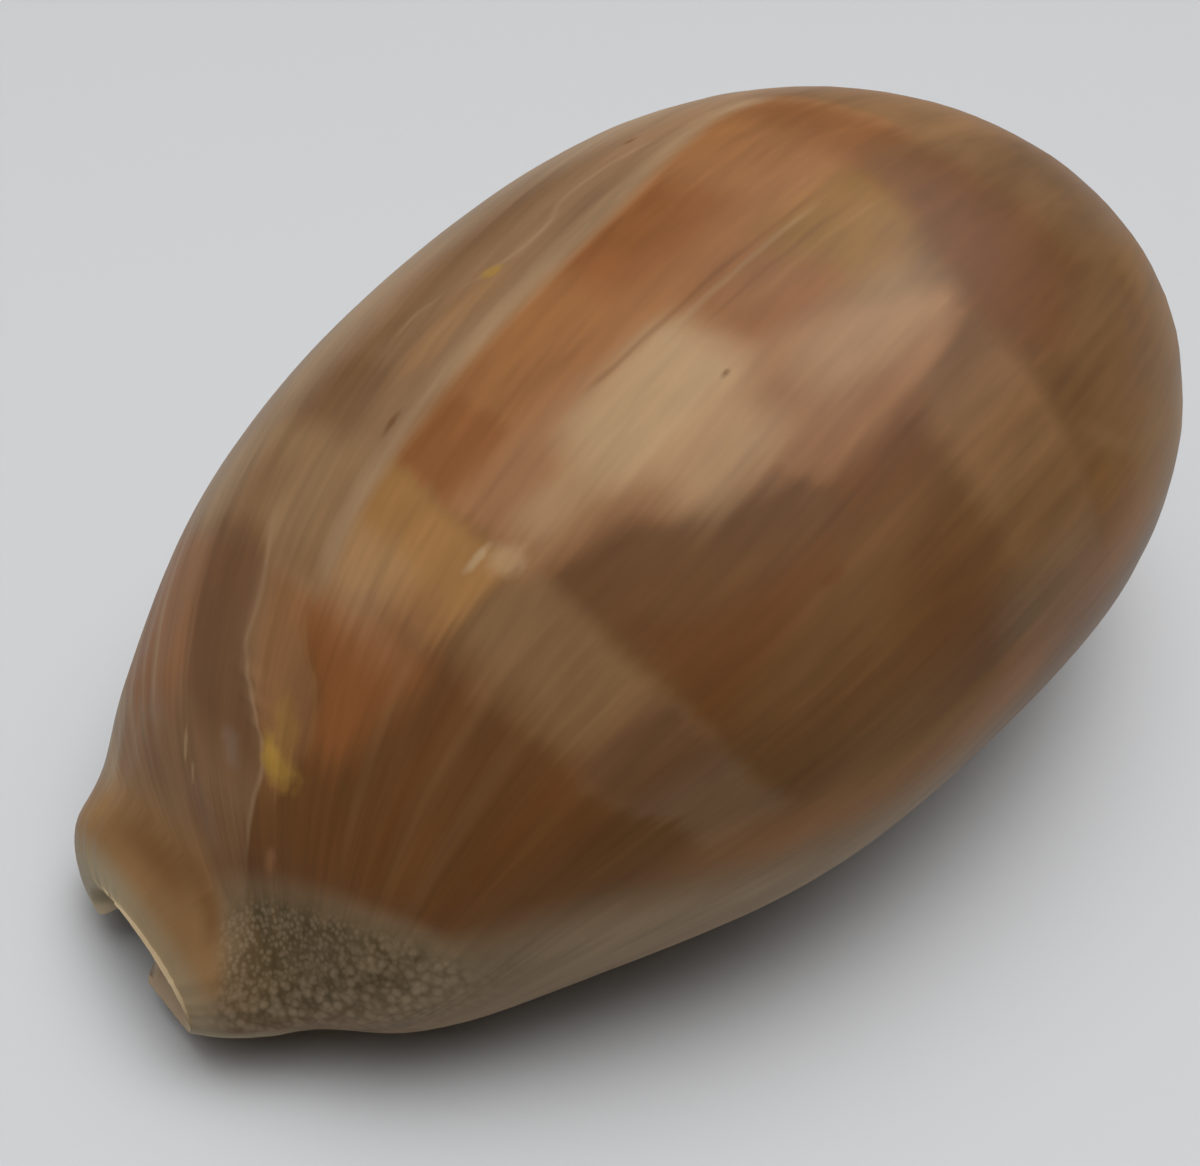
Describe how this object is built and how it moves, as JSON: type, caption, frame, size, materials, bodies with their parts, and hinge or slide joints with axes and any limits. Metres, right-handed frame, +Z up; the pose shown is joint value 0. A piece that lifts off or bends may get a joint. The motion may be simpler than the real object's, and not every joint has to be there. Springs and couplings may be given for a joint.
{
  "type": "cowrie shell",
  "caption": "Large glossy cowrie shell: a hollow domed egg of shell lying on its base, which is open along a toothed slit that runs out in a notch at each end.",
  "frame": {"origin": "on the plane that the shell rests on, under the middle of its bounding box", "axes": "+X along the length towards the broad spire end, so -X is the narrow end with the siphon notch; +Y towards the outer lip's side; +Z up through the crown"},
  "size_m": [0.13, 0.0854, 0.0558],
  "materials": {
    "cowrie_shell": "polished natural shell, banded brown and tan, cream specks by the base"
  },
  "bodies": {
    "root": {"cowrie_shell": "cowrie_shell"}
  },
  "joints": []
}
